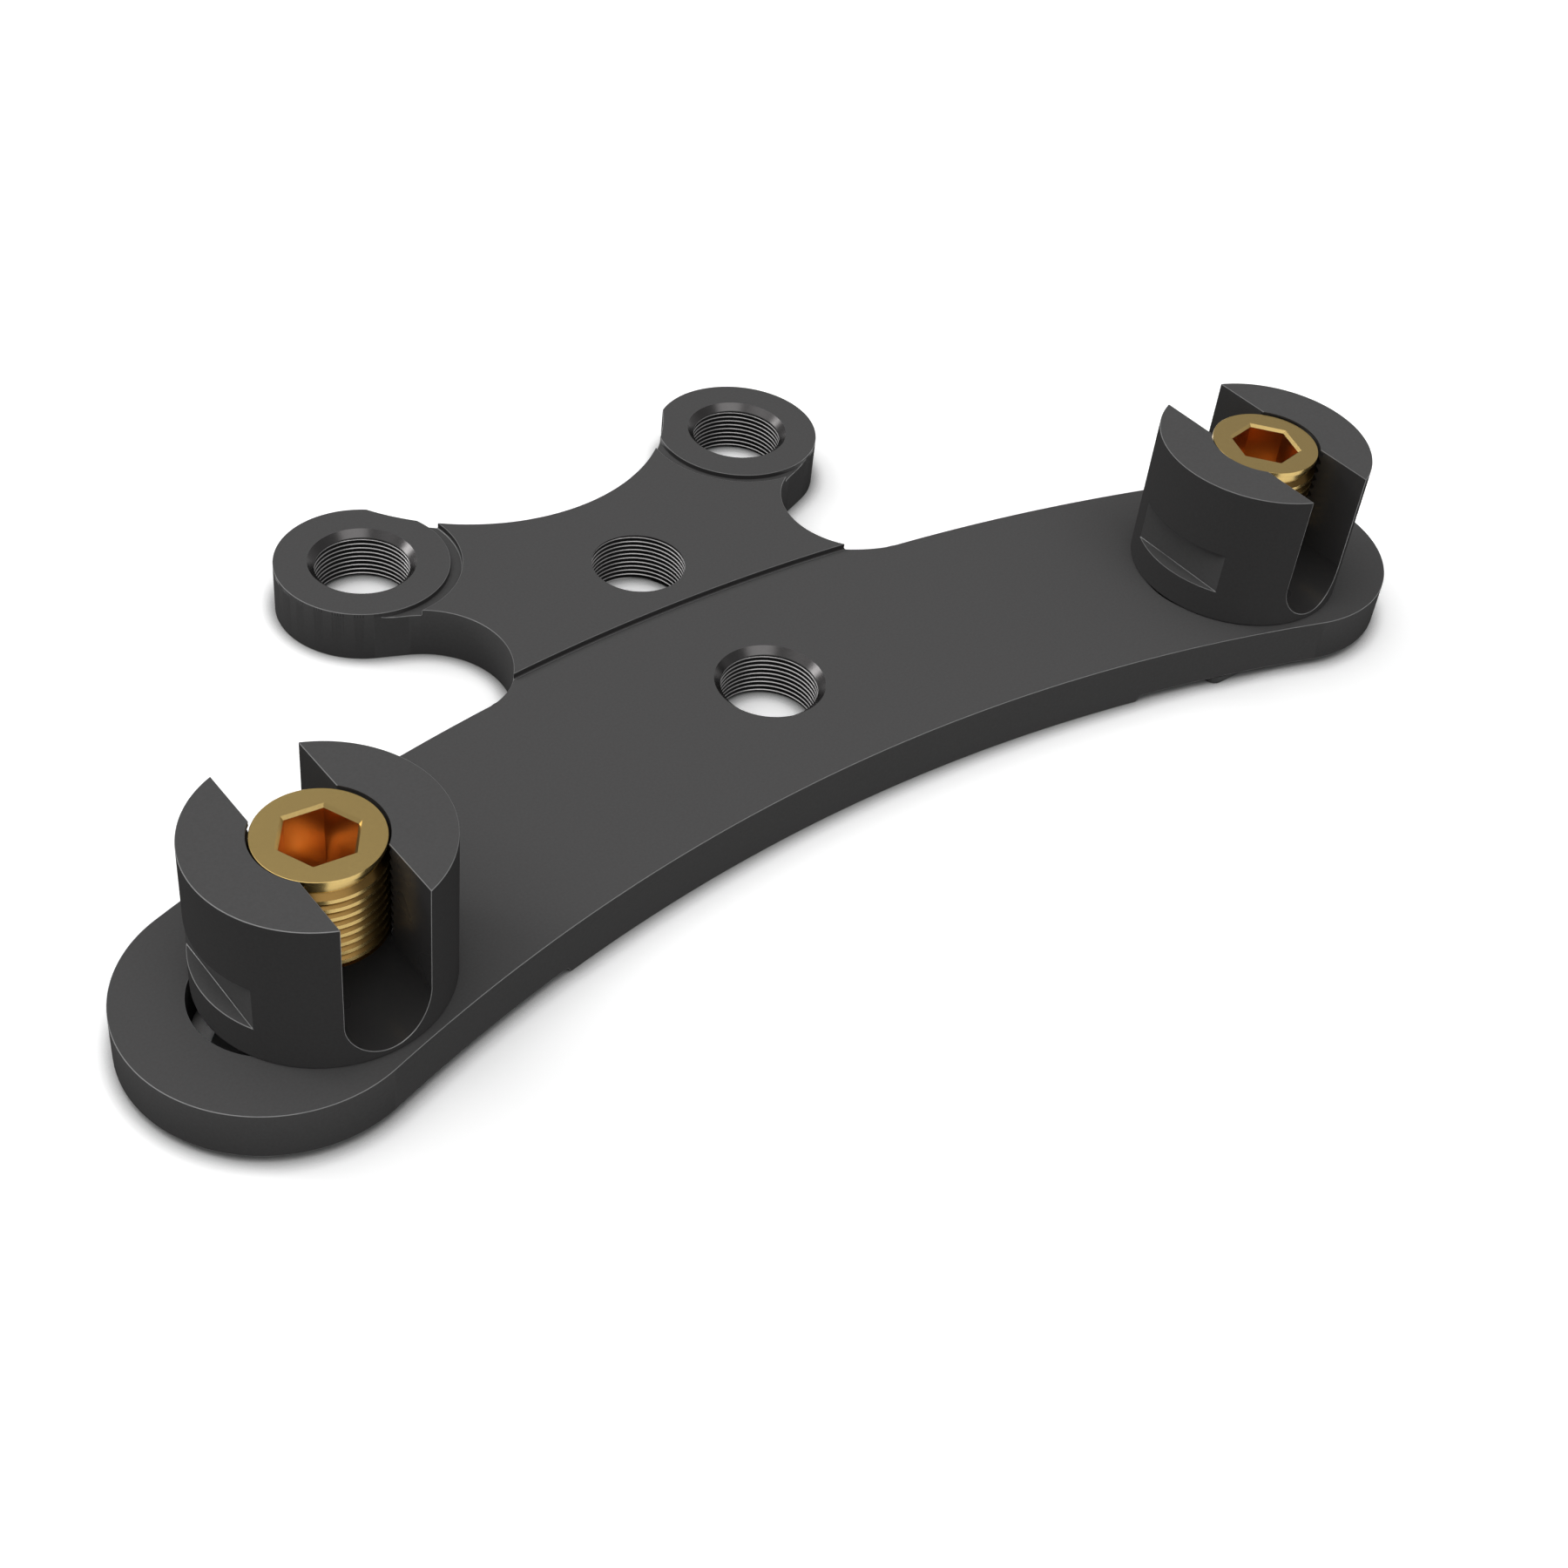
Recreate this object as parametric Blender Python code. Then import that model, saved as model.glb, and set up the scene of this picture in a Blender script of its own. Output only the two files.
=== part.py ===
# Occipital fixation plate: one crescent plate with a neck and two screw lobes, and on each arm
# a slotted rod head that swivels on a sliding foot and is closed by a set screw.
# Built in metres, +Z up, resting on the underside of the plate's middle.
# X runs from one rod head to the other, +Y points to the lobes, and the origin is below the middle.

import bpy
import bmesh
from math import acos, atan2, cos, hypot, pi, radians, sin, sqrt

MM = 0.001

# Plate thickness, with the arms relieved below for the sliding feet
plate_thickness = 2.55 * MM
arm_relief = 0.335 * MM

# Crescent, an arc band with round ends
band_back_y = 0.65 * MM
band_back_radius = 92.74 * MM
band_width = 12.01 * MM
arm_end_beyond_head = 2.2 * MM

# Neck and lobes, measured out from the crescent's back edge
lobe_x = 10.845 * MM
lobe_out = 11.05 * MM
lobe_radius = 4.03 * MM
waist_out = 9.59 * MM
lobe_cut = radians(123.16)
scallop_offset = 1.675 * MM
scallop_gap = 0.127 * MM
scallop_corner = radians(11.2)

# Bend grooves
groove_depth = 0.3 * MM
groove_width = 0.54 * MM
neck_step_width = 1.07 * MM

# Screw holes, their threads left plain here
hole_radius = 2.19 * MM
countersink_width = 0.305 * MM
countersink_depth = 0.3 * MM
crescent_hole_in = 5.67 * MM
neck_hole_out = 4.4 * MM

# Rod heads, with heights above the top of the plate
head_x = 25.0 * MM
head_radius = 5.0 * MM
head_height = 7.05 * MM
head_gap = 0.05 * MM
head_base_edge = 0.1 * MM
head_top_edge = 0.03 * MM
rod_slot_width = 3.6 * MM
rod_slot_floor = 0.3 * MM
bore_radius = 2.58 * MM
bore_floor = 2.1 * MM
grip_depth = 0.7 * MM
grip_bottom = 1.58 * MM
grip_top = 3.6 * MM
flange_height = 0.65 * MM
flange_lip = 0.6 * MM

# Slots in the arms, and the feet that slide in them
slot_radius = 3.2 * MM
slide_out = 1.7 * MM
slide_in = 1.3 * MM
slide_clearance = 0.05 * MM
turn_clearance = 0.06 * MM
key_straight = 1.0 * MM
key_wall = 0.49 * MM
foot_gap = 0.03 * MM
foot_reach = 1.86 * MM
foot_lip = 1.12 * MM
foot_diagonal = 2.14 * MM
foot_rounding = 0.47 * MM
foot_end_room = 2.64 * MM

# Set screws
screw_clearance = 0.1 * MM
screw_sink = 0.09 * MM
screw_room = 0.52 * MM
screw_end_edge = 0.12 * MM
screw_top_edge = 0.03 * MM
socket_across_flats = 2.7 * MM
socket_depth = 3.0 * MM
socket_edge = 0.13 * MM
socket_turn_left = radians(-6.0)
socket_turn_right = radians(9.0)

overcut = 1.0 * MM

# Places that follow from the sizes above
band_front_radius = band_back_radius - band_width
band_centre_y = band_back_y - band_back_radius
band_middle_radius = band_back_radius - band_width / 2
arm_end_x = head_x + arm_end_beyond_head
arm_end_y = band_centre_y + sqrt(band_middle_radius**2 - arm_end_x**2)
head_y = arm_end_y
lobe_y = band_back_y + lobe_out
waist_y = band_back_y + waist_out
foot_half_length = slot_radius + foot_reach
flange_radius = slot_radius - slide_clearance - key_wall - turn_clearance
stem_radius = flange_radius - flange_lip


def clear_scene():
    for obj in list(bpy.data.objects):
        bpy.data.objects.remove(obj, do_unlink=True)


def make_object(name, bm, collection):
    bmesh.ops.recalc_face_normals(bm, faces=bm.faces)
    mesh = bpy.data.meshes.new(name)
    bm.to_mesh(mesh)
    bm.free()
    obj = bpy.data.objects.new(name, mesh)
    collection.objects.link(obj)
    return obj


def stack(rings):
    """A closed body through rings of points, all with the same count."""
    bm = bmesh.new()
    made = [[bm.verts.new(p) for p in ring] for ring in rings]
    count = len(rings[0])
    for low, high in zip(made, made[1:]):
        for i in range(count):
            j = (i + 1) % count
            bm.faces.new((low[i], low[j], high[j], high[i]))
    bm.faces.new(list(reversed(made[0])))
    bm.faces.new(made[-1])
    return bm


def prism(outline, bottom, top):
    return stack([[(x, y, z) for x, y in outline] for z in (bottom, top)])


def block(x0, x1, y0, y1, bottom, top):
    return prism([(x0, y0), (x1, y0), (x1, y1), (x0, y1)], bottom, top)


def circle(x, y, radius, count, turn=0.0):
    angles = [turn + 2 * pi * i / count for i in range(count)]
    return [(x + radius * cos(a), y + radius * sin(a)) for a in angles]


def turned(x, y, profile, count, turn=0.0):
    """A closed body of revolution from (radius, height) pairs, bottom to top."""
    rings = []
    for radius, height in profile:
        rings.append([(px, py, height) for px, py in circle(x, y, radius, count, turn)])
    return stack(rings)


def arc(cx, cy, radius, start, end, count):
    """Points of an arc from start to end, both included."""
    steps = [start + (end - start) * i / count for i in range(count + 1)]
    return [(cx + radius * cos(a), cy + radius * sin(a)) for a in steps]


def stadium(inner_x, outer_x, y, radius, count):
    """A long round-ended outline along X."""
    left = arc(inner_x, y, radius, pi / 2, 3 * pi / 2, count)
    return left + arc(outer_x, y, radius, -pi / 2, pi / 2, count)


def ring_cutter(cx, cy, inner, outer, bottom, top, count):
    bm = bmesh.new()
    rows = []
    for radius, height in ((inner, bottom), (outer, bottom), (outer, top), (inner, top)):
        rows.append([bm.verts.new((x, y, height)) for x, y in circle(cx, cy, radius, count)])
    for k in range(4):
        first = rows[k]
        second = rows[(k + 1) % 4]
        for i in range(count):
            j = (i + 1) % count
            bm.faces.new((first[i], first[j], second[j], second[i]))
    return bm


def swept(profile, centre_y, start, end, count):
    """A profile of (radius, height) pairs carried along an arc about (0, centre_y)."""
    bm = bmesh.new()
    rows = []
    for i in range(count + 1):
        a = start + (end - start) * i / count
        rows.append([bm.verts.new((r * cos(a), centre_y + r * sin(a), z)) for r, z in profile])
    size = len(profile)
    for first, second in zip(rows, rows[1:]):
        for i in range(size):
            j = (i + 1) % size
            bm.faces.new((first[i], first[j], second[j], second[i]))
    bm.faces.new(rows[0])
    bm.faces.new(list(reversed(rows[-1])))
    return bm


def combine(obj, name, bm, operation):
    tool = make_object(name, bm, cutters)
    tool.hide_render = True
    tool.display_type = "WIRE"
    step = obj.modifiers.new(name, "BOOLEAN")
    step.operation = operation
    step.solver = "EXACT"
    step.object = tool


def cut(obj, name, bm):
    combine(obj, name, bm, "DIFFERENCE")


def paint(obj, colour, metallic, roughness):
    material = bpy.data.materials.new(obj.name + "_metal")
    material.use_nodes = True
    shader = material.node_tree.nodes["Principled BSDF"]
    shader.inputs["Base Color"].default_value = (*colour, 1.0)
    shader.inputs["Metallic"].default_value = metallic
    shader.inputs["Roughness"].default_value = roughness
    material.diffuse_color = (*colour, 1.0)
    obj.data.materials.append(material)


def scallop():
    """Centre and radius of the scallop, which leaves the crescent's back edge at its corner
    angle and keeps its gap to the lobe. The radius is found by halving its range."""
    x = lobe_x + scallop_offset
    low = 0.0
    high = lobe_out
    for _ in range(60):
        radius = (low + high) / 2
        reach = band_back_radius + radius * cos(scallop_corner)
        y = band_centre_y + sqrt(reach**2 - x**2)
        if hypot(scallop_offset, lobe_y - y) > lobe_radius + radius + scallop_gap:
            low = radius
        else:
            high = radius
    return x, y, radius


def plate_outline():
    """The right half goes round from the front middle to the back middle, then is mirrored."""
    lean = atan2(arm_end_y - band_centre_y, arm_end_x)
    points = arc(0, band_centre_y, band_front_radius, pi / 2, lean, 14)
    points += arc(arm_end_x, arm_end_y, band_width / 2, lean - pi, lean, 26)[1:-1]
    scallop_x, scallop_y, scallop_radius = scallop()
    begin = atan2(band_centre_y - scallop_y, -scallop_x) + 2 * pi - scallop_corner
    corner_x = scallop_x + scallop_radius * cos(begin)
    corner_y = scallop_y + scallop_radius * sin(begin)
    back_end = atan2(corner_y - band_centre_y, corner_x)
    points += arc(0, band_centre_y, band_back_radius, lean, back_end, 9)
    span = hypot(scallop_offset, lobe_y - scallop_y)
    facing = atan2(lobe_y - scallop_y, -scallop_offset)
    tangent = facing + acos((lobe_radius + scallop_radius) / span)
    points += arc(scallop_x, scallop_y, scallop_radius, begin, tangent, 16)[1:]
    points += arc(lobe_x, lobe_y, lobe_radius, tangent - pi, lobe_cut, 40)
    cut_x = lobe_x + lobe_radius * cos(lobe_cut)
    rise = lobe_y + lobe_radius * sin(lobe_cut) - waist_y
    back_radius = (cut_x**2 + rise**2) / (2 * rise)
    last = atan2(rise - back_radius, cut_x)
    points += arc(0, waist_y + back_radius, back_radius, last, -pi / 2, 16)[1:]
    mirrored = [(-x, y) for x, y in reversed(points[1:-1])]
    return points + mirrored


def build_plate():
    top = plate_thickness
    plate = make_object("plate", prism(plate_outline(), 0.0, top), bpy.context.collection)
    relief_start = head_x - slide_in - foot_half_length - foot_end_room
    slot_ends = (head_x - slide_in - key_straight / 2, head_x + slide_out + key_straight / 2)
    for side, word in ((-1, "left"), (1, "right")):
        x0, x1 = sorted((side * relief_start, side * (arm_end_x + band_width)))
        relief = block(x0, x1, head_y - band_width, head_y + band_width, -overcut, arm_relief)
        cut(plate, "relief_" + word, relief)
        x0, x1 = sorted(side * end for end in slot_ends)
        slot = stadium(x0, x1, head_y, slot_radius, 20)
        cut(plate, "slot_" + word, prism(slot, -overcut, top + overcut))
        outer = lobe_radius + groove_width
        low = top - groove_depth
        groove = ring_cutter(side * lobe_x, lobe_y, lobe_radius, outer, low, top + overcut, 96)
        cut(plate, "lobe_groove_" + word, groove)
    step_radius = band_back_radius + neck_step_width
    ramp = [
        (band_back_radius, top),
        (step_radius, top - groove_depth),
        (step_radius, top + overcut),
        (band_back_radius, top + overcut),
    ]
    reach = (lobe_x + scallop_offset) / band_back_radius
    cut(plate, "neck_step", swept(ramp, band_centre_y, pi / 2 - reach, pi / 2 + reach, 16))
    holes = (
        ("crescent_hole", 0.0, band_back_y - crescent_hole_in, True),
        ("neck_hole", 0.0, band_back_y + neck_hole_out, False),
        ("left_lobe_hole", -lobe_x, lobe_y, True),
        ("right_lobe_hole", lobe_x, lobe_y, True),
    )
    for name, x, y, sunk in holes:
        profile = [(hole_radius, -overcut), (hole_radius, top + overcut)]
        if sunk:
            profile = [
                (hole_radius, -overcut),
                (hole_radius, top - countersink_depth),
                (hole_radius + countersink_width, top),
                (hole_radius + 2 * countersink_width, top + countersink_depth),
            ]
        cut(plate, name, turned(x, y, profile, 64))
    paint(plate, (0.062, 0.062, 0.064), 0.85, 0.42)


def build_slider(word, side):
    """Both feet are alike: a plate under the slot with two opposite corners cut off at 45
    degrees and the other two rounded. The key above it fills the slot in the arm."""
    name = "slider_" + word
    x = side * head_x
    half_width = slot_radius + foot_lip
    across = slot_radius + foot_diagonal
    outline = [(across - half_width, -half_width), (foot_half_length, foot_half_length - across)]
    corner = (foot_half_length - foot_rounding, half_width - foot_rounding)
    outline += arc(*corner, foot_rounding, 0, pi / 2, 5)
    outline += [(-px, -py) for px, py in outline]
    outline = [(x + px, head_y + py) for px, py in outline]
    foot = prism(outline, foot_gap, arm_relief - foot_gap)
    slider = make_object(name, foot, bpy.context.collection)
    radius = slot_radius - slide_clearance
    key = stadium(x - key_straight / 2, x + key_straight / 2, head_y, radius, 20)
    key_top = plate_thickness - head_gap
    combine(slider, name + "_key", prism(key, foot_gap, key_top), "UNION")
    seat = foot_gap + flange_height + 2 * turn_clearance
    profile = [
        (flange_radius + turn_clearance, -overcut),
        (flange_radius + turn_clearance, seat),
        (stem_radius + turn_clearance, seat),
        (stem_radius + turn_clearance, plate_thickness + overcut),
    ]
    cut(slider, name + "_bore", turned(x, head_y, profile, 64))
    paint(slider, (0.05, 0.05, 0.052), 0.85, 0.45)


def build_head(word, side):
    name = "head_" + word
    x = side * head_x
    flange_bottom = foot_gap + turn_clearance
    base = plate_thickness + head_gap
    top = plate_thickness + head_height
    profile = [
        (flange_radius, flange_bottom),
        (flange_radius, flange_bottom + flange_height),
        (stem_radius, flange_bottom + flange_height),
        (stem_radius, base),
        (head_radius - head_base_edge, base),
        (head_radius, base + head_base_edge),
        (head_radius, top - head_top_edge),
        (head_radius - head_top_edge, top),
    ]
    head = make_object(name, turned(x, head_y, profile, 80), bpy.context.collection)
    half = rod_slot_width / 2
    floor = plate_thickness + rod_slot_floor
    shape = arc(x, floor + half, half, pi, 2 * pi, 24)
    shape += [(x + half, top + overcut), (x - half, top + overcut)]
    near = head_y - head_radius - overcut
    far = head_y + head_radius + overcut
    cut(head, name + "_rod_slot", stack([[(px, y, pz) for px, pz in shape] for y in (near, far)]))
    bore = [(bore_radius, plate_thickness + bore_floor), (bore_radius, top + overcut)]
    cut(head, name + "_bore", turned(x, head_y, bore, 64))
    low = plate_thickness + grip_bottom
    high = plate_thickness + grip_top
    for way, label in ((-1, "low"), (1, "high")):
        x0, x1 = sorted((x + way * (head_radius - grip_depth), x + way * (head_radius + overcut)))
        cut(head, name + "_grip_" + label, block(x0, x1, near, far, low, high))
    paint(head, (0.062, 0.062, 0.064), 0.85, 0.4)


def build_set_screw(word, side, turn):
    name = "set_screw_" + word
    x = side * head_x
    top = plate_thickness + head_height - screw_sink
    end = plate_thickness + bore_floor + screw_room
    radius = bore_radius - screw_clearance
    profile = [
        (radius - screw_end_edge, end),
        (radius, end + screw_end_edge),
        (radius, top - screw_top_edge),
        (radius - screw_top_edge, top),
    ]
    screw = make_object(name, turned(x, head_y, profile, 64), bpy.context.collection)
    corner = socket_across_flats / 2 / cos(pi / 6)
    socket = [
        (corner - 2 * socket_edge, top - socket_depth),
        (corner, top - socket_depth + 2 * socket_edge),
        (corner, top - socket_edge),
        (corner + socket_edge, top),
        (corner + 2 * socket_edge, top + socket_edge),
    ]
    cut(screw, name + "_socket", turned(x, head_y, socket, 6, turn + pi / 3))
    paint(screw, (0.35, 0.24, 0.09), 1.0, 0.3)


clear_scene()
cutters = bpy.data.collections.new("cutters")
bpy.context.scene.collection.children.link(cutters)

build_plate()
for word, side, turn in (("left", -1, socket_turn_left), ("right", 1, socket_turn_right)):
    build_slider(word, side)
    build_head(word, side)
    build_set_screw(word, side, turn)
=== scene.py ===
# Looks of the occipital fixation plate, set round the imported frame: the plate with its threaded
# holes and fine edges in painted highlight, the rod heads with threaded bores, the set screws, and
# a pale studio. Walls, recesses, threads and the floor by contacts carry painted shade.

from math import acos, atan2, cos, floor, hypot, pi, radians, sin, sqrt

import bmesh
import bpy
from mathutils import Matrix, Vector


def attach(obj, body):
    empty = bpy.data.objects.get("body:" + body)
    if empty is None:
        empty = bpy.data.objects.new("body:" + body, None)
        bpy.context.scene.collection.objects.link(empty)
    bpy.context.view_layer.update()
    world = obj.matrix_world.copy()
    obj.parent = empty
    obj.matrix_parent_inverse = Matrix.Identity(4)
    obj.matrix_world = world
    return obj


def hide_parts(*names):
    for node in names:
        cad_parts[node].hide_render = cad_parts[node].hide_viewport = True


MM = 0.001

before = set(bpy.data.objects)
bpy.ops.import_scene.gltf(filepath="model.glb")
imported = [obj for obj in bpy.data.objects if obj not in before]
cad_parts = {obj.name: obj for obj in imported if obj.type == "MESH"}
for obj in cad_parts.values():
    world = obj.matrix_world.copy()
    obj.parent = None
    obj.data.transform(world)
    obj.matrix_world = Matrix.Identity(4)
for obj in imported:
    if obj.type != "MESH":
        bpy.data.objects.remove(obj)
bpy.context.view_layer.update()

# Sizes shared with the solids, in millimetres
TOP = 2.55
RELIEF = 0.335
RELIEF_START = 16.0
BAND_Y = -92.09
FRONT_R = 80.73
BACK_R = 92.74
END_X = 27.2
LOBE = (10.845, 11.70)
LOBE_R = 4.03
LOBE_CUT = radians(123.16)
SCALLOP = (12.52, 3.7386)
SCALLOP_R = 3.9787
SCALLOP_CORNER = radians(11.2)
WAIST_Y = 10.24
GROOVE = 0.3
GROOVE_WIDTH = 0.54
STEP_R = 93.81
STEP_HALF = 12.6
HOLE_R = 2.19
SINK_R = 2.495
SINK_DEPTH = 0.3
HEAD = (25.0, -9.7303)
HEAD_R = 5.0
HEAD_BASE = 2.6
HEAD_TOP = 9.6
FLANGE_R = 2.6
STEM_R = 2.0
FLANGE = (0.09, 0.74)
SLOT_R = 3.2
SLOT_X = (23.2, 27.2)
ROD_SLOT = 3.6
ROD_FLOOR = 2.85
BORE_R = 2.58
BORE_FLOOR = 4.65
GRIP_X = 4.3
GRIP = (4.13, 6.15)
SCREW_R = 2.48
SCREW_BASE = 5.17
SCREW_TOP = 9.51
DISC = 0.24
SOCKET = 2.7
SOCKET_DEPTH = 3.0
PITCH = 0.45

# Each hole's middle, and whether it is countersunk
HOLES = (
    (0.0, -5.02, True),
    (0.0, 5.05, False),
    (-LOBE[0], LOBE[1], True),
    (LOBE[0], LOBE[1], True),
)

# Sizes of the looks alone, in millimetres: edges, threads and how far a tool cuts past a solid
EDGE = 0.028
UNDER_EDGE = 0.04
EDGE_STRIP = 0.02
MERGE = 0.02
HOLE_PITCH = 0.24
HOLE_THREAD = 0.16
THREAD_BED = 0.06
LIP = 0.06
LIP_SLOPE = 0.02
THREAD_FOOT = 0.02
BORE_THREAD = 0.16
SCREW_CREST = 2.54
SCREW_ROOT = 2.3
SOCKET_CHAMFER = 0.13
SOCKET_POINT = 0.35
SLOT_SPLIT = 1.0
PAST = 1

# Numbers of steps round a whole circle or arc
HOLE_STEPS = 144
SLOT_STEPS = 56
HEAD_STEPS = 240
BORE_STEPS = 180
SCREW_STEPS = 180
SCREW_THREAD_STEPS = 160

# Angles in degrees, and how level or upright a face is by the height of its normal
FLAT_ANGLE = 0.2
SHARP_ANGLE = 28
SMOOTH_ANGLE = 30
HEAD_ANGLE = 35
LEVEL = 0.999
UPRIGHT = 0.05

# Places of the finishes on each piece
MAIN = 0
# RIM takes the painted highlight along bevelled edges
RIM = 1
# INNER takes painted shade in a head's slot and bore, and the metal cone's finish on the plate
INNER = 2
# WALL takes painted shade: a head's outer and slot walls, and the plate's walls near its top
WALL = 3
# MARKED takes painted light: a crest's highlight, a flank's shade, a socket's warm interreflection
MARKED = 1

# Camera, as measured from the photograph, in millimetres
CAMERA_LENS = 53.112
CAMERA_AT = (-53.523, -64.104, 67.368)
CAMERA_RIGHT = (0.783324, -0.61406, 0.096611)
CAMERA_BACK = (-0.510266, -0.546434, 0.664108)

# Light: the sky's pairs of height towards OVERHEAD and level, first the ramp's own two ends,
# and panels of direction, half angle in degrees and level
SKY = ((0.0, 0.5), (1.0, 1.9), (0.06, 0.5), (0.2, 0.28), (0.42, 0.40), (0.80, 0.42), (0.91, 1.7))
SKY_PEAK = 2.0
OVERHEAD = (-0.22, 0.26, 0.94)
PANELS = (
    ((-0.55, 0.74, 0.39), 7.0, 8.0),
    ((-0.09, -0.58, 0.81), 21.0, 1.7),
)
PANEL_BLUR = 6
HORIZON = (0.08, 0.16)
FLOOR_HALF = 4000.0
FLOOR_WHITE = 1.26
FLOOR_BOUNCE = 0.24
CONTACT_REACH = 0.8
CONTACT_SHADE = 0.2
CONTACT_FULL = 0.4


# Shapes


def arc(cx, cy, radius, start, end, count):
    """Points of an arc from start to end, both included."""
    angles = [start + (end - start) * i / count for i in range(count + 1)]
    return [(cx + radius * cos(a), cy + radius * sin(a)) for a in angles]


def circle(cx, cy, radius, count, turn=0.0):
    """Points round a circle, the first of them at the angle turn."""
    angles = [turn + 2 * pi * i / count for i in range(count)]
    return [(cx + radius * cos(a), cy + radius * sin(a)) for a in angles]


def stadium(x0, x1, y, radius, count):
    """A long round-ended outline along X."""
    left = arc(x0, y, radius, pi / 2, 3 * pi / 2, count)
    right = arc(x1, y, radius, -pi / 2, pi / 2, count)
    return left + right


def object_of(name, bm):
    """A mesh object made from a bmesh in millimetres."""
    bmesh.ops.recalc_face_normals(bm, faces=bm.faces)
    bmesh.ops.scale(bm, vec=(MM, MM, MM), verts=bm.verts)
    mesh = bpy.data.meshes.new(name)
    bm.to_mesh(mesh)
    bm.free()
    obj = bpy.data.objects.new(name, mesh)
    bpy.context.scene.collection.objects.link(obj)
    return obj


def skin(rings, closed=False, marked=None):
    """A body through rings of equal count, whose marked strip gets a finish of its own."""
    bm = bmesh.new()
    rows = [[bm.verts.new(point) for point in ring] for ring in rings]
    pairs = list(zip(rows, rows[1:]))
    if closed:
        pairs.append((rows[-1], rows[0]))
    size = len(rings[0])
    for first, second in pairs:
        for i in range(size):
            j = (i + 1) % size
            face = bm.faces.new((first[i], first[j], second[j], second[i]))
            face.material_index = MARKED if i == marked else MAIN
    if not closed:
        bm.faces.new(list(reversed(rows[0])))
        bm.faces.new(rows[-1])
    return bm


def prism(outline, bottom, top):
    return skin([[(x, y, z) for x, y in outline] for z in (bottom, top)])


def block(x0, x1, y0, y1, bottom, top):
    return prism([(x0, y0), (x1, y0), (x1, y1), (x0, y1)], bottom, top)


def along_y(shape, near, far):
    """A body from an outline of (x, z) pairs, carried from near to far along Y."""
    return skin([[(x, y, z) for x, z in shape] for y in (near, far)])


def turned(cx, cy, profile, count, turn=0.0):
    """A body of revolution from (radius, height) pairs, bottom to top."""
    return skin([[(x, y, z) for x, y in circle(cx, cy, r, count, turn)] for r, z in profile])


def carried(profile, cx, cy, start, end, count, closed=False):
    """A closed profile of (radius, height) pairs carried along an arc about (cx, cy)."""
    rings = []
    for i in range(count if closed else count + 1):
        a = start + (end - start) * i / count
        rings.append([(cx + r * cos(a), cy + r * sin(a), z) for r, z in profile])
    return skin(rings, closed)


def coil(cx, cy, profile, pitch, begin, bottom, turns, count, lowest, highest, marked):
    """A closed profile of (radius, height) pairs carried up a helix, cut level at both ends."""
    rings = []
    for i in range(int(round(turns * count)) + 1):
        a = begin + 2 * pi * i / count
        lift = bottom + pitch * i / count
        heights = [min(max(z + lift, lowest), highest) for r, z in profile]
        points = zip(profile, heights)
        rings.append([(cx + r * cos(a), cy + r * sin(a), height) for (r, z), height in points])
    return skin(rings, marked=marked)


def ridge(phase, flat):
    """Height of a thread at a share of its pitch: 0 in the valley and 1 on the crest."""
    t = abs(2 * (phase - floor(phase)) - 1)
    return min(1.0, max(0.0, (t - flat) / (1 - 2 * flat)))


def threaded(cx, cy, low, high, bottom, top, pitch, count, per_pitch, flat=0.12):
    """Rings of a helical thread, whose phase is counted from height zero."""
    rings = []
    steps = int(round((top - bottom) / pitch * per_pitch))
    for k in range(steps + 1):
        z = bottom + (top - bottom) * k / steps
        ring = []
        for i in range(count):
            a = 2 * pi * i / count
            r = low + (high - low) * ridge(z / pitch - i / count, flat)
            ring.append((cx + r * cos(a), cy + r * sin(a), z))
        rings.append(ring)
    return rings


def combine(obj, tools):
    """Cuts the tools out of the object's own mesh, and takes them away."""
    for tool in tools:
        step = obj.modifiers.new("cut", "BOOLEAN")
        step.operation = "DIFFERENCE"
        step.solver = "EXACT"
        step.object = tool
    graph = bpy.context.evaluated_depsgraph_get()
    mesh = bpy.data.meshes.new_from_object(obj.evaluated_get(graph))
    obj.modifiers.clear()
    old = obj.data
    obj.data = mesh
    bpy.data.meshes.remove(old)
    mesh.name = obj.name
    for tool in tools:
        bpy.data.objects.remove(tool, do_unlink=True)


def soften(obj, width, choose):
    """Rounds the sharp edges whose middle is chosen, and gives narrow strips a painted highlight.
    """
    bm = bmesh.new()
    bm.from_mesh(obj.data)
    bmesh.ops.remove_doubles(bm, verts=bm.verts, dist=MERGE * MM)
    bmesh.ops.dissolve_limit(bm, angle_limit=radians(FLAT_ANGLE), verts=bm.verts, edges=bm.edges)
    picked = []
    for edge in bm.edges:
        if len(edge.link_faces) != 2 or edge.calc_face_angle(0.0) < radians(SHARP_ANGLE):
            continue
        middle = (edge.verts[0].co + edge.verts[1].co) / (2 * MM)
        if choose(middle):
            picked.append(edge)
    bmesh.ops.bevel(
        bm,
        geom=picked,
        offset=width * MM,
        offset_type="OFFSET",
        segments=2,
        profile=0.5,
        affect="EDGES",
        clamp_overlap=False,
        material=RIM,
    )
    # Narrow bevel strips keep the painted highlight colour; wider ones get the main colour back
    for face in bm.faces:
        if face.material_index != RIM:
            continue
        if face.calc_area() / face.calc_perimeter() > EDGE_STRIP * MM:
            face.material_index = MAIN
    bm.to_mesh(obj.data)
    bm.free()


def smooth(obj, angle, weighted):
    """Smooth shading up to an angle in degrees, with flat faces kept flat where weighted."""
    mesh = obj.data
    for face in mesh.polygons:
        face.use_smooth = True
    mesh.set_sharp_from_angle(angle=radians(angle))
    if not weighted:
        return
    weight = obj.modifiers.new("normals", "WEIGHTED_NORMAL")
    weight.keep_sharp = True
    weight.weight = 50


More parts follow.
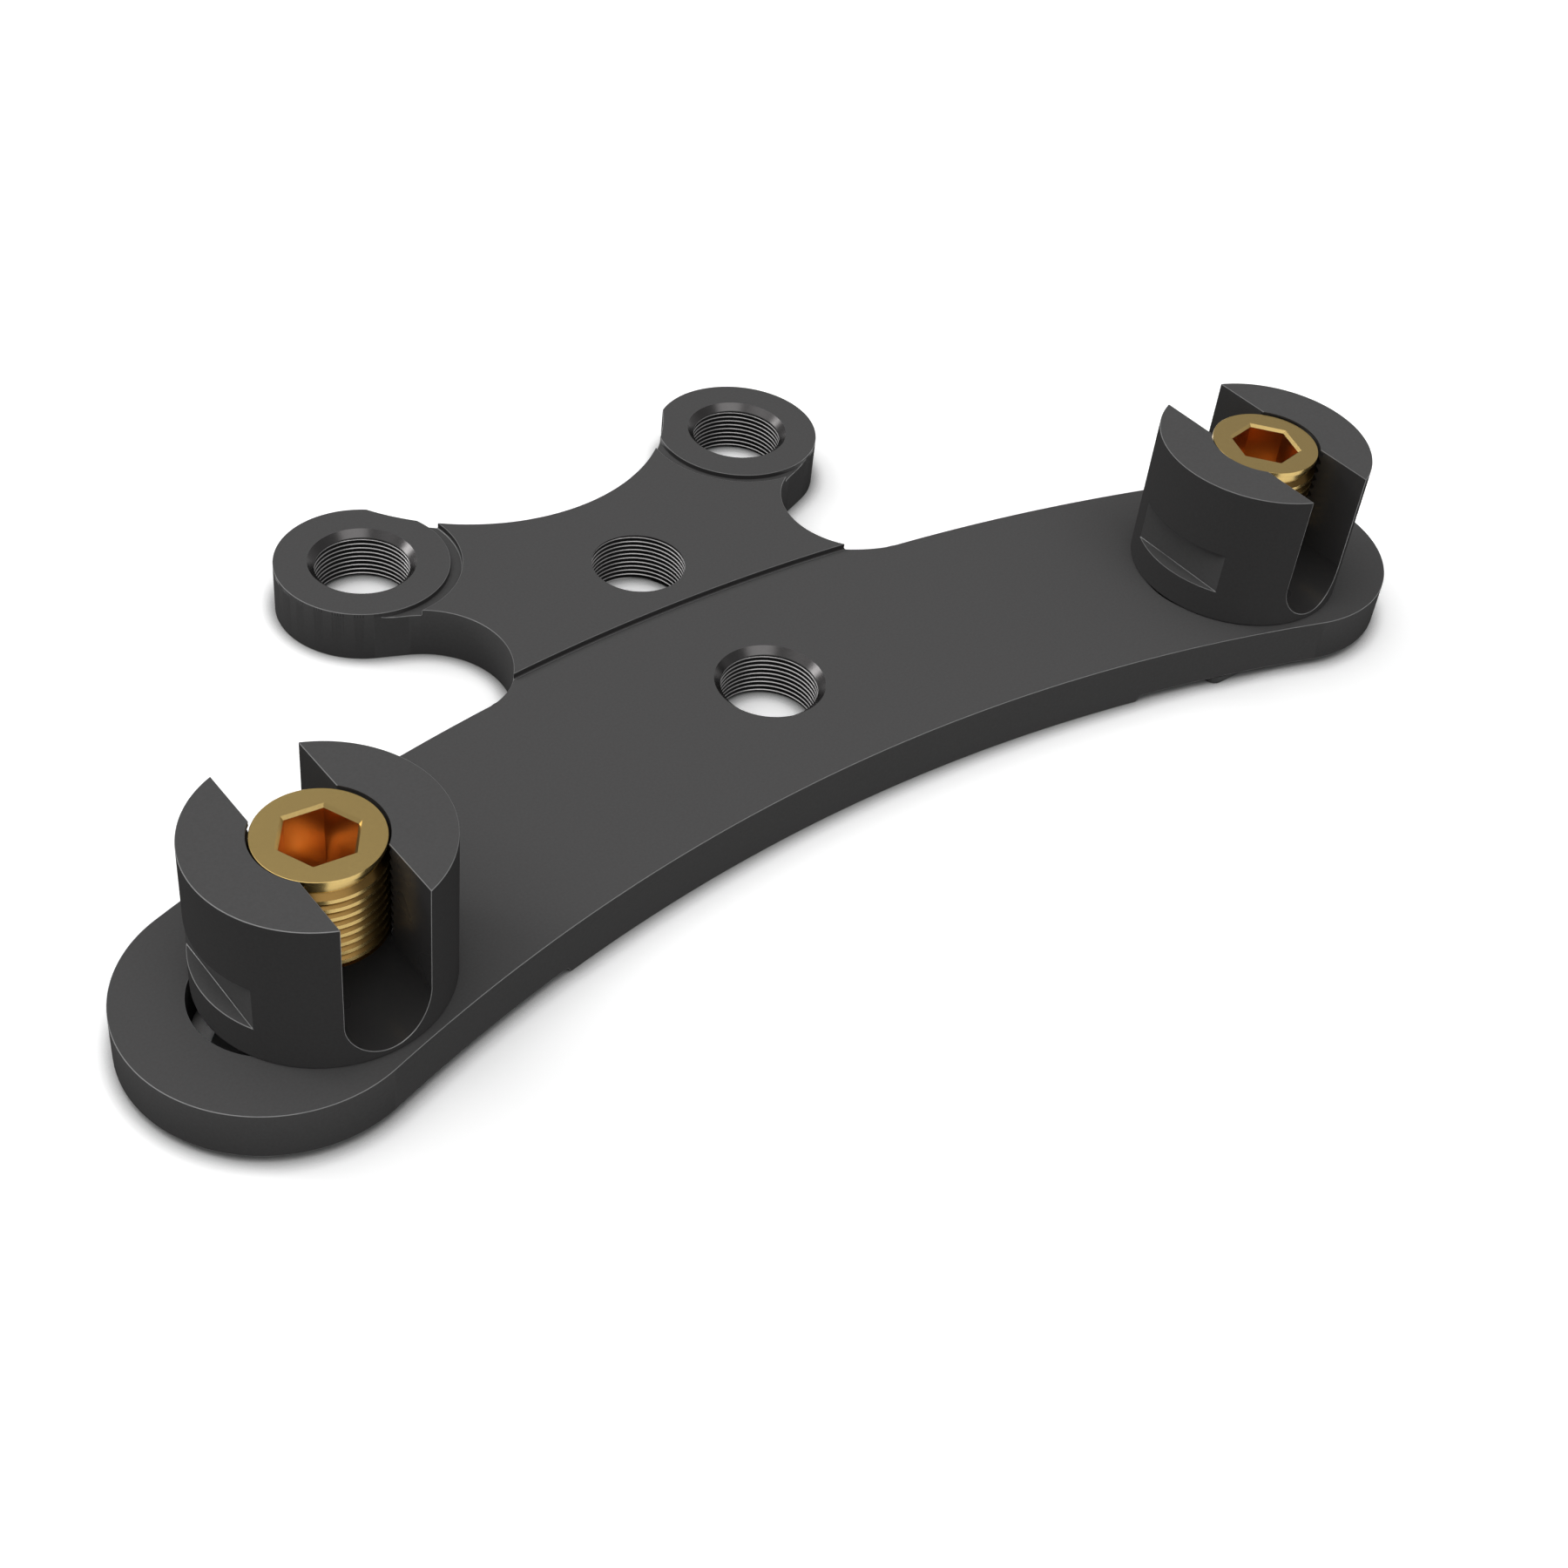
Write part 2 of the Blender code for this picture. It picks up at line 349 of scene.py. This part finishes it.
def wear(obj, *materials):
    """Gives an object its finishes. Clearing them resets the faces' own, so a bare mesh isn't."""
    if len(obj.data.materials) > 0:
        obj.data.materials.clear()
    for material in materials:
        obj.data.materials.append(material)


# Nodes of materials and light


def noise(tree, place, scale, detail):
    node = tree.nodes.new("ShaderNodeTexNoise")
    node.inputs["Scale"].default_value = scale
    node.inputs["Detail"].default_value = detail
    tree.links.new(place, node.inputs["Vector"])
    return node.outputs["Fac"]


def remap(tree, value, source=(0.0, 1.0), result=(0.0, 1.0), blend="LINEAR"):
    """Carries a value from one range to another."""
    node = tree.nodes.new("ShaderNodeMapRange")
    node.interpolation_type = blend
    node.inputs["From Min"].default_value = source[0]
    node.inputs["From Max"].default_value = source[1]
    node.inputs["To Min"].default_value = result[0]
    node.inputs["To Max"].default_value = result[1]
    tree.links.new(value, node.inputs["Value"])
    return node.outputs["Result"]


def calculate(tree, operation, first, second):
    """A sum on two sockets, or on a socket and a number."""
    node = tree.nodes.new("ShaderNodeMath")
    node.operation = operation
    tree.links.new(first, node.inputs[0])
    if isinstance(second, float):
        node.inputs[1].default_value = second
    else:
        tree.links.new(second, node.inputs[1])
    return node.outputs[0]


def towards(tree, place, way):
    """How nearly each direction points one way: 1 straight at it and 0 at right angles."""
    node = tree.nodes.new("ShaderNodeVectorMath")
    node.operation = "DOT_PRODUCT"
    node.inputs[1].default_value = Vector(way).normalized()
    tree.links.new(place, node.inputs[0])
    return node.outputs["Value"]


def metal(name, colour, roughness, grain, speckle, metallic=0.0, gloss=0.5):
    """Blasted and anodised metal: a fine grain in colour and bump, and a wide one in roughness."""
    material = bpy.data.materials.new(name)
    material.use_nodes = True
    tree = material.node_tree
    shader = tree.nodes["Principled BSDF"]
    shader.inputs["Metallic"].default_value = metallic
    shader.inputs["Specular IOR Level"].default_value = gloss
    place = tree.nodes.new("ShaderNodeTexCoord").outputs["Object"]
    fine = noise(tree, place, scale=9000.0, detail=3.0)
    wide = noise(tree, place, scale=260.0, detail=2.0)
    tint = remap(tree, fine, result=(1.0 - speckle, 1.0 + speckle))
    shade = tree.nodes.new("ShaderNodeMix")
    shade.data_type = "RGBA"
    shade.blend_type = "MULTIPLY"
    first, second = [socket for socket in shade.inputs if socket.type == "RGBA"]
    result = [socket for socket in shade.outputs if socket.type == "RGBA"][0]
    shade.inputs["Factor"].default_value = 1.0
    first.default_value = (*colour, 1.0)
    tree.links.new(tint, second)
    tree.links.new(result, shader.inputs["Base Color"])
    rough = remap(tree, wide, result=(roughness - 0.03, roughness + 0.03))
    tree.links.new(rough, shader.inputs["Roughness"])
    bump = tree.nodes.new("ShaderNodeBump")
    bump.inputs["Strength"].default_value = grain
    bump.inputs["Distance"].default_value = 0.01 * MM
    tree.links.new(fine, bump.inputs["Height"])
    tree.links.new(bump.outputs["Normal"], shader.inputs["Normal"])
    return material


# Plate


def plate_outline():
    """The right half goes round from the front middle to the back middle, then is mirrored."""
    middle = (FRONT_R + BACK_R) / 2
    end_y = BAND_Y + sqrt(middle**2 - END_X**2)
    lean = atan2(end_y - BAND_Y, END_X)
    points = arc(0, BAND_Y, FRONT_R, pi / 2, lean, count=48)
    points += arc(END_X, end_y, (BACK_R - FRONT_R) / 2, lean - pi, lean, count=90)[1:-1]
    begin = atan2(BAND_Y - SCALLOP[1], -SCALLOP[0]) + 2 * pi - SCALLOP_CORNER
    corner_x = SCALLOP[0] + SCALLOP_R * cos(begin)
    corner_y = SCALLOP[1] + SCALLOP_R * sin(begin)
    points += arc(0, BAND_Y, BACK_R, lean, atan2(corner_y - BAND_Y, corner_x), count=24)
    span = hypot(LOBE[0] - SCALLOP[0], LOBE[1] - SCALLOP[1])
    facing = atan2(LOBE[1] - SCALLOP[1], LOBE[0] - SCALLOP[0])
    tangent = facing + acos((LOBE_R + SCALLOP_R) / span)
    points += arc(*SCALLOP, SCALLOP_R, begin, tangent, count=56)[1:]
    points += arc(*LOBE, LOBE_R, tangent - pi, LOBE_CUT, count=120)
    cut_x = LOBE[0] + LOBE_R * cos(LOBE_CUT)
    rise = LOBE[1] + LOBE_R * sin(LOBE_CUT) - WAIST_Y
    back_radius = (cut_x**2 + rise**2) / (2 * rise)
    last = atan2(rise - back_radius, cut_x)
    points += arc(0, WAIST_Y + back_radius, back_radius, last, -pi / 2, count=48)[1:]
    return points + [(-x, y) for x, y in reversed(points[1:-1])]


def relief_tool(side):
    """Clears the underside of one arm, with a small S-shaped step at its inner end."""
    run = 0.3
    steps = 8
    far = 40.0
    start = RELIEF_START - run / 2
    shape = [(side * start, -1.0), (side * start, -0.0005)]
    for k in range(1, steps + 1):
        t = k / steps
        height = RELIEF * (3 * t * t - 2 * t * t * t)
        shape.append((side * (RELIEF_START + run * (t - 0.5)), height))
    shape += [(side * far, RELIEF), (side * far, -1.0)]
    return object_of("relief", along_y(shape, near=-25.0, far=5.0))


def groove_tool(side):
    """The bend groove round a lobe, rounded where it meets the lobe and the plate."""
    low = TOP - GROOVE
    inner = LOBE_R
    outer = LOBE_R + GROOVE_WIDTH
    deep = 0.1
    slight = 0.05
    shape = [(inner, TOP + PAST)]
    shape += arc(inner + deep, low + deep, deep, pi, 1.5 * pi, count=4)
    shape += arc(outer - slight, low + slight, slight, -pi / 2, 0, count=3)
    shape.append((outer, TOP + PAST))
    ring = carried(shape, side * LOBE[0], LOBE[1], 0, 2 * pi, count=200, closed=True)
    return object_of("groove", ring)


def step_tool():
    """The ramp down from the crescent to the foot of the neck's front edge."""
    low = TOP - GROOVE
    foot = 0.1
    shape = [(BACK_R, TOP), (STEP_R - foot, low + 0.02)]
    shape += arc(STEP_R - foot, low + foot, foot, -pi / 2.5, 0, count=4)
    shape += [(STEP_R, TOP + PAST), (BACK_R, TOP + PAST)]
    reach = STEP_HALF / BACK_R
    return object_of("step", carried(shape, 0, BAND_Y, pi / 2 - reach, pi / 2 + reach, count=56))


def hole_tool(x, y, mouth, sunk, bed):
    """One hole: wide enough for its thread, with a plain lip and maybe a countersink above."""
    profile = [(bed, -PAST), (bed, mouth - LIP - LIP_SLOPE), (HOLE_R, mouth - LIP), (HOLE_R, mouth)]
    if sunk:
        profile += [(SINK_R, TOP), (2 * SINK_R - HOLE_R, TOP + SINK_DEPTH)]
    else:
        profile.append((HOLE_R, TOP + PAST))
    return object_of("hole", turned(x, y, profile, HOLE_STEPS))


def hole_thread(name, cx, cy, top, outer):
    """The thread of one hole in painted shade: ridges with a painted highlight line along the upper
    edge of each.
    """
    root = HOLE_R + HOLE_THREAD
    profile = [
        (outer, 0.0),
        (root, 0.0),
        (root, 0.03),
        (HOLE_R + 0.01, 0.1),
        (HOLE_R, 0.17),
        (HOLE_R + 0.035, 0.2),
        (root, HOLE_PITCH),
        (outer, HOLE_PITCH),
    ]
    turns = int((top - THREAD_FOOT) / HOLE_PITCH) + 1
    winding = coil(
        cx,
        cy,
        profile,
        pitch=HOLE_PITCH,
        begin=4.0,
        bottom=top - HOLE_PITCH * (turns + 0.5),
        turns=turns,
        count=HOLE_STEPS,
        lowest=THREAD_FOOT,
        highest=top,
        # The strip along each crest's upper edge takes the painted highlight
        marked=4,
    )
    thread = object_of(name, winding)
    smooth(thread, SMOOTH_ANGLE, False)
    wear(thread, painted_shade_thread, painted_highlight_crest)
    return thread


def build_plate():
    plate = object_of("plate_body", prism(plate_outline(), 0.0, TOP))
    wear(plate, dark, painted_highlight_edge, dark_cone, painted_shade_recess)
    tools = [step_tool()]
    for side in (-1, 1):
        tools.append(relief_tool(side))
        ends = sorted(side * x for x in SLOT_X)
        slot = stadium(*ends, HEAD[1], SLOT_R, SLOT_STEPS)
        tools.append(object_of("slot", prism(slot, -PAST, TOP + PAST)))
        tools.append(groove_tool(side))
    bed = HOLE_R + HOLE_THREAD + THREAD_BED
    for x, y, sunk in HOLES:
        mouth = TOP - SINK_DEPTH if sunk else TOP
        tools.append(hole_tool(x, y, mouth, sunk, bed))
    combine(plate, tools)

    def outside(middle):
        return all(hypot(middle.x - x, middle.y - y) > SINK_R + 0.03 for x, y, sunk in HOLES)

    soften(plate, UNDER_EDGE, lambda middle: middle.z < RELIEF + 0.01 and outside(middle))
    soften(plate, EDGE, lambda middle: middle.z > RELIEF + 0.1 and outside(middle))
    # Countersink cones take their metal; upright faces near the top, in grooves, step and lips,
    # take painted shade
    for face in plate.data.polygons:
        x, y, z = face.center / MM
        in_cone = any(hypot(x - a, y - b) < SINK_R for a, b, sunk in HOLES if sunk)
        if in_cone and 0.3 < face.normal.z < 0.9:
            face.material_index = INNER
        elif z > TOP - GROOVE and abs(face.normal.z) < 0.5 and face.material_index == MAIN:
            face.material_index = WALL
    smooth(plate, SMOOTH_ANGLE, True)
    pieces = [plate]
    for number, (x, y, sunk) in enumerate(HOLES):
        mouth = TOP - SINK_DEPTH if sunk else TOP
        top = mouth - LIP - LIP_SLOPE
        pieces.append(hole_thread("hole_thread_%d" % number, x, y, top, bed + 0.02))
    for piece in pieces:
        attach(piece, "plate")
    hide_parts("plate")


# Rod heads


def cut_bore(head, cx, cy):
    """Bores a head for its set screw, with the thread as a helix in the cutting tool."""
    rings = threaded(
        cx,
        cy,
        low=BORE_R,
        high=BORE_R + BORE_THREAD,
        bottom=BORE_FLOOR + 0.3,
        top=HEAD_TOP - 0.12,
        pitch=PITCH,
        count=BORE_STEPS,
        per_pitch=12,
    )
    plain = circle(cx, cy, BORE_R, BORE_STEPS)
    low = [(x, y, BORE_FLOOR) for x, y in plain]
    foot = [(x, y, BORE_FLOOR + 0.28) for x, y in plain]
    neck = [(x, y, HEAD_TOP - 0.1) for x, y in plain]
    high = [(x, y, HEAD_TOP + PAST) for x, y in plain]
    combine(head, [object_of("bore", skin([low, foot] + rings + [neck, high]))])


def split_faces(obj, y):
    """Divides the faces that cross one plane, so that each side can have its own painted shade."""
    bm = bmesh.new()
    bm.from_mesh(obj.data)
    everything = bm.verts[:] + bm.edges[:] + bm.faces[:]
    middle = (0.0, y * MM, 0.0)
    bmesh.ops.bisect_plane(bm, geom=everything, plane_co=middle, plane_no=(0.0, 1.0, 0.0))
    bm.to_mesh(obj.data)
    bm.free()


def dress_head(head, cx, cy):
    """Gives a head's faces their finishes, with painted shade on walls, slot and bore, and the
    normals of its true flat and round shapes.
    """
    half = ROD_SLOT / 2
    round_z = ROD_FLOOR + half
    below_top = HEAD_TOP - 0.03
    mesh = head.data
    smooth(head, HEAD_ANGLE, False)
    normals = [Vector(corner.vector) for corner in mesh.corner_normals]
    for face in mesh.polygons:
        x, y, z = face.center / MM
        reach = hypot(x - cx, y - cy)
        rim = face.material_index == RIM
        upright = abs(face.normal.z) < UPRIGHT
        outer = upright and reach > HEAD_R - 0.02 and not rim
        between = abs(x - cx) < half + 0.01 and not rim
        rounded = between and z < round_z and abs(face.normal.y) < 0.01 and reach < HEAD_R
        # Outer walls and the slot's far walls take painted wall shade, the slot's near part and the
        # bore a darker painted shade, and rims by the grips lose their painted highlight
        if outer:
            face.material_index = WALL
        elif rim:
            by_grip = abs(x - cx) > GRIP_X - 0.1 and GRIP[0] - 0.1 < z < GRIP[1] + 0.1
            if by_grip and face.normal.z < 0.3:
                face.material_index = WALL
        elif between and y < cy + SLOT_SPLIT and ROD_FLOOR - 0.01 < z < below_top:
            face.material_index = INNER
        elif between and upright:
            face.material_index = WALL
        elif reach < BORE_R + 0.3 and z < below_top and not between:
            face.material_index = INNER
        level = abs(face.normal.z) > LEVEL
        for loop in face.loop_indices:
            point = mesh.vertices[mesh.loops[loop].vertex_index].co / MM
            if outer:
                normals[loop] = Vector((point.x - cx, point.y - cy, 0.0)).normalized()
            elif rounded:
                normals[loop] = Vector((cx - point.x, 0.0, round_z - point.z)).normalized()
            elif level or (upright and face.material_index != INNER):
                normals[loop] = face.normal.copy()
    mesh.normals_split_custom_set(normals)


def build_head(word, side):
    """A round head on its stem and flared foot, with the rod's slot, two grips and a bore."""
    cx = side * HEAD[0]
    cy = HEAD[1]
    corner = 0.02
    body = [
        (FLANGE_R, FLANGE[0]),
        (FLANGE_R, FLANGE[1]),
        (STEM_R, FLANGE[1]),
        (STEM_R, HEAD_BASE),
        (HEAD_R - corner, HEAD_BASE),
        (HEAD_R, HEAD_BASE + corner),
        (HEAD_R, HEAD_TOP),
    ]
    head = object_of("rod_head_" + word, turned(cx, cy, body, HEAD_STEPS))
    wear(head, dark_head, painted_highlight_edge, painted_shade_recess, painted_shade_wall)
    half = ROD_SLOT / 2
    shape = arc(cx, ROD_FLOOR + half, half, pi, 2 * pi, SLOT_STEPS)
    shape += [(cx + half, HEAD_TOP + PAST), (cx - half, HEAD_TOP + PAST)]
    near = cy - HEAD_R - PAST
    far = cy + HEAD_R + PAST
    tools = [object_of("slot", along_y(shape, near, far))]
    for way in (-1, 1):
        x0, x1 = sorted((cx + way * GRIP_X, cx + way * (HEAD_R + PAST)))
        tools.append(object_of("grip", block(x0, x1, near, far, *GRIP)))
    combine(head, tools)
    soften(head, EDGE, lambda middle: middle.z > HEAD_BASE + 0.15)
    cut_bore(head, cx, cy)
    split_faces(head, cy + SLOT_SPLIT)
    dress_head(head, cx, cy)
    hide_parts("head_" + word)
    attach(head, "head_" + word)


# Set screws


def screw_body(word, cx, cy, under, turn):
    """The disc and core of a set screw, with a hexagon socket whose mouth is chamfered."""
    rim = 0.025
    core = SCREW_ROOT - 0.01
    body = [
        (core, SCREW_BASE + 0.01),
        (core, under),
        (SCREW_R - rim, under),
        (SCREW_R, under + rim),
        (SCREW_R, SCREW_TOP - rim),
        (SCREW_R - 0.3 * rim, SCREW_TOP - 0.3 * rim),
        (SCREW_R - rim, SCREW_TOP),
    ]
    screw = object_of("locking_screw_" + word, turned(cx, cy, body, SCREW_STEPS))
    wear(screw, gold, gold_painted_interreflection)
    corner = SOCKET / 2 / cos(pi / 6)
    socket = [
        (corner * 0.15, SCREW_TOP - SOCKET_DEPTH - SOCKET_POINT),
        (corner, SCREW_TOP - SOCKET_DEPTH),
        (corner, SCREW_TOP - SOCKET_CHAMFER),
        (corner + SOCKET_CHAMFER, SCREW_TOP),
        (corner + 3 * SOCKET_CHAMFER, SCREW_TOP + 2 * SOCKET_CHAMFER),
    ]
    start = radians(turn) + pi / 3
    combine(screw, [object_of("socket", turned(cx, cy, socket, 6, start))])
    smooth(screw, SMOOTH_ANGLE, False)
    # The socket's walls take a brighter, redder copy of the gold: painted interreflection
    for face in screw.data.polygons:
        x, y, z = face.center / MM
        if hypot(x - cx, y - cy) < corner and SCREW_BASE + 0.1 < z < SCREW_TOP - SOCKET_CHAMFER:
            face.material_index = MARKED
        if abs(face.normal.z) > LEVEL:
            face.use_smooth = False
    return screw


def screw_winding(word, cx, cy, under):
    """The thread of a set screw, up to the underside of its disc, with painted shade on the upper
    flanks.
    """
    inside = SCREW_ROOT - 0.04
    profile = [
        (inside, 0.0),
        (SCREW_ROOT, 0.0),
        (SCREW_ROOT, 0.02),
        (SCREW_CREST, 0.08),
        (SCREW_CREST, 0.25),
        (SCREW_ROOT, 0.43),
        (SCREW_ROOT, PITCH),
        (inside, PITCH),
    ]
    turns = 9.075
    winding = coil(
        cx,
        cy,
        profile,
        pitch=PITCH,
        begin=radians(200),
        bottom=under - PITCH * (turns + 1),
        turns=turns,
        count=SCREW_THREAD_STEPS,
        lowest=SCREW_BASE,
        highest=under,
        marked=4,
    )
    thread = object_of("screw_thread_" + word, winding)
    wear(thread, gold, painted_shade_flank)
    smooth(thread, SMOOTH_ANGLE, False)
    return thread


def build_set_screw(word, side, turn):
    cx = side * HEAD[0]
    cy = HEAD[1]
    under = SCREW_TOP - DISC
    screw = screw_body(word, cx, cy, under, turn)
    thread = screw_winding(word, cx, cy, under)
    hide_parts("set_screw_" + word)
    for piece in (screw, thread):
        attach(piece, "set_screw_" + word)


# Studio


def build_camera():
    camera = bpy.data.objects.new("camera", bpy.data.cameras.new("camera"))
    bpy.context.scene.collection.objects.link(camera)
    camera.data.sensor_width = 36.0
    camera.data.lens = CAMERA_LENS
    camera.data.clip_start = 0.005
    camera.data.clip_end = 20.0
    right = Vector(CAMERA_RIGHT).normalized()
    back = Vector(CAMERA_BACK).normalized()
    up = back.cross(right).normalized()
    right = up.cross(back).normalized()
    turn = Matrix((right, up, back)).transposed()
    camera.matrix_world = Matrix.Translation(Vector(CAMERA_AT) * MM) @ turn.to_4x4()
    bpy.context.scene.camera = camera


def build_sky():
    """A dome of light, dim half way up and brightest overhead, with panels and a white horizon."""
    world = bpy.data.worlds.new("studio")
    bpy.context.scene.world = world
    world.use_nodes = True
    tree = world.node_tree
    place = tree.nodes.new("ShaderNodeTexCoord").outputs["Generated"]
    ramp = tree.nodes.new("ShaderNodeValToRGB")
    ramp.color_ramp.interpolation = "EASE"
    spots = ramp.color_ramp.elements
    for number, (height, level) in enumerate(SKY):
        spot = spots[number] if number < 2 else spots.new(height)
        spot.position = height
        spot.color = (level / SKY_PEAK, level / SKY_PEAK, level / SKY_PEAK, 1.0)
    tree.links.new(towards(tree, place, OVERHEAD), ramp.inputs["Fac"])
    light = calculate(tree, "MULTIPLY", ramp.outputs["Color"], SKY_PEAK)
    for way, half, strength in PANELS:
        faint = cos(radians(half + PANEL_BLUR))
        full = cos(radians(half - PANEL_BLUR))
        facing = towards(tree, place, way)
        panel = remap(tree, facing, (faint, full), (0.0, strength), "SMOOTHSTEP")
        light = calculate(tree, "ADD", light, panel)
    split = tree.nodes.new("ShaderNodeSeparateXYZ")
    tree.links.new(place, split.inputs[0])
    band = remap(tree, split.outputs["Z"], (HORIZON[1], HORIZON[0]), blend="SMOOTHSTEP")
    light = calculate(tree, "MAXIMUM", light, band)
    background = tree.nodes["Background"]
    background.inputs["Color"].default_value = (1.0, 1.0, 1.0, 1.0)
    tree.links.new(light, background.inputs["Strength"])


def build_floor():
    """White to the eye and in reflections, with a soft contact shade, and a grey card otherwise."""
    low = -FLOOR_HALF
    high = FLOOR_HALF
    ground = object_of("floor", block(low, high, low, high, -PAST, 0))
    material = bpy.data.materials.new("floor_white")
    material.use_nodes = True
    tree = material.node_tree
    tree.nodes.remove(tree.nodes["Principled BSDF"])
    path = tree.nodes.new("ShaderNodeLightPath").outputs
    seen = calculate(tree, "MAXIMUM", path["Is Camera Ray"], path["Is Glossy Ray"])
    seen = calculate(tree, "MAXIMUM", seen, path["Is Transmission Ray"])
    bounce = tree.nodes.new("ShaderNodeBsdfDiffuse")
    bounce.inputs["Color"].default_value = (FLOOR_BOUNCE, FLOOR_BOUNCE, FLOOR_BOUNCE, 1.0)
    # The ambient occlusion darkens the floor's colour near the object: a painted contact shadow,
    # added to the rendered one
    near = tree.nodes.new("ShaderNodeAmbientOcclusion")
    near.samples = 8
    near.inputs["Distance"].default_value = CONTACT_REACH * MM
    levels = (FLOOR_WHITE * CONTACT_SHADE, FLOOR_WHITE)
    shade = remap(tree, near.outputs["AO"], (CONTACT_FULL, 1.0), levels)
    white = tree.nodes.new("ShaderNodeBsdfDiffuse")
    tree.links.new(shade, white.inputs["Color"])
    mix = tree.nodes.new("ShaderNodeMixShader")
    tree.links.new(seen, mix.inputs["Fac"])
    tree.links.new(bounce.outputs[0], mix.inputs[1])
    tree.links.new(white.outputs[0], mix.inputs[2])
    tree.links.new(mix.outputs[0], tree.nodes["Material Output"].inputs["Surface"])
    ground.data.materials.append(material)


bpy.context.scene.view_settings.view_transform = "Standard"

dark = metal(
    "anodised_plate", (0.078, 0.077, 0.077), roughness=0.42, grain=0.25, speckle=0.1, gloss=0.0
)
# Darker than the plate: painted shade on the hole threads
painted_shade_thread = metal(
    "painted_thread_shade", (0.026, 0.026, 0.026), roughness=0.35, grain=0.1, speckle=0.08, gloss=0.05
)
# A light grey strip on each crest: painted highlight on the hole threads
painted_highlight_crest = metal(
    "painted_crest_highlight", (0.42, 0.41, 0.41), roughness=0.3, grain=0.05, speckle=0.05, metallic=0.6
)
dark_cone = metal(
    "anodised_cone", (0.085, 0.082, 0.082), roughness=0.24, grain=0.15, speckle=0.08, metallic=1.0
)
dark_head = metal(
    "anodised_head", (0.080, 0.079, 0.079), roughness=0.4, grain=0.2, speckle=0.1, gloss=0.0
)
# Darker than the head: painted shade on its outer and slot walls
painted_shade_wall = metal(
    "painted_wall_shade", (0.053, 0.052, 0.052), roughness=0.4, grain=0.2, speckle=0.1, gloss=0.0
)
# Darkest grey: painted shade in the heads' slots and bores and on the plate's upper walls
painted_shade_recess = metal(
    "painted_recess_shade", (0.034, 0.033, 0.033), roughness=0.28, grain=0.15, speckle=0.08, gloss=0.16
)
dark_foot = metal(
    "anodised_foot", (0.070, 0.070, 0.070), roughness=0.45, grain=0.2, speckle=0.1, gloss=0.05
)
# A light grey on the bevel strips: painted edge highlight
painted_highlight_edge = metal(
    "painted_edge_highlight", (0.19, 0.19, 0.19), roughness=0.35, grain=0.1, speckle=0.08, metallic=0.6
)
gold = metal(
    "anodised_gold", (0.57, 0.41, 0.155), roughness=0.26, grain=0.12, speckle=0.06, metallic=1.0
)
# A dark copy of the gold: painted shade on the screw threads' upper flanks
painted_shade_flank = metal(
    "painted_flank_shade", (0.17, 0.10, 0.03), roughness=0.26, grain=0.12, speckle=0.06, metallic=1.0
)
# A brighter, redder copy of the gold: painted interreflection in the sockets
gold_painted_interreflection = metal(
    "socket_painted_interreflection", (0.68, 0.39, 0.16), roughness=0.24, grain=0.1, speckle=0.06, metallic=1.0
)

build_camera()
build_sky()
build_floor()
build_plate()
for word, side, turn in (("left", -1, -6.0), ("right", 1, 9.0)):
    build_head(word, side)
    build_set_screw(word, side, turn)
    wear(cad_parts["slider_" + word], dark_foot)
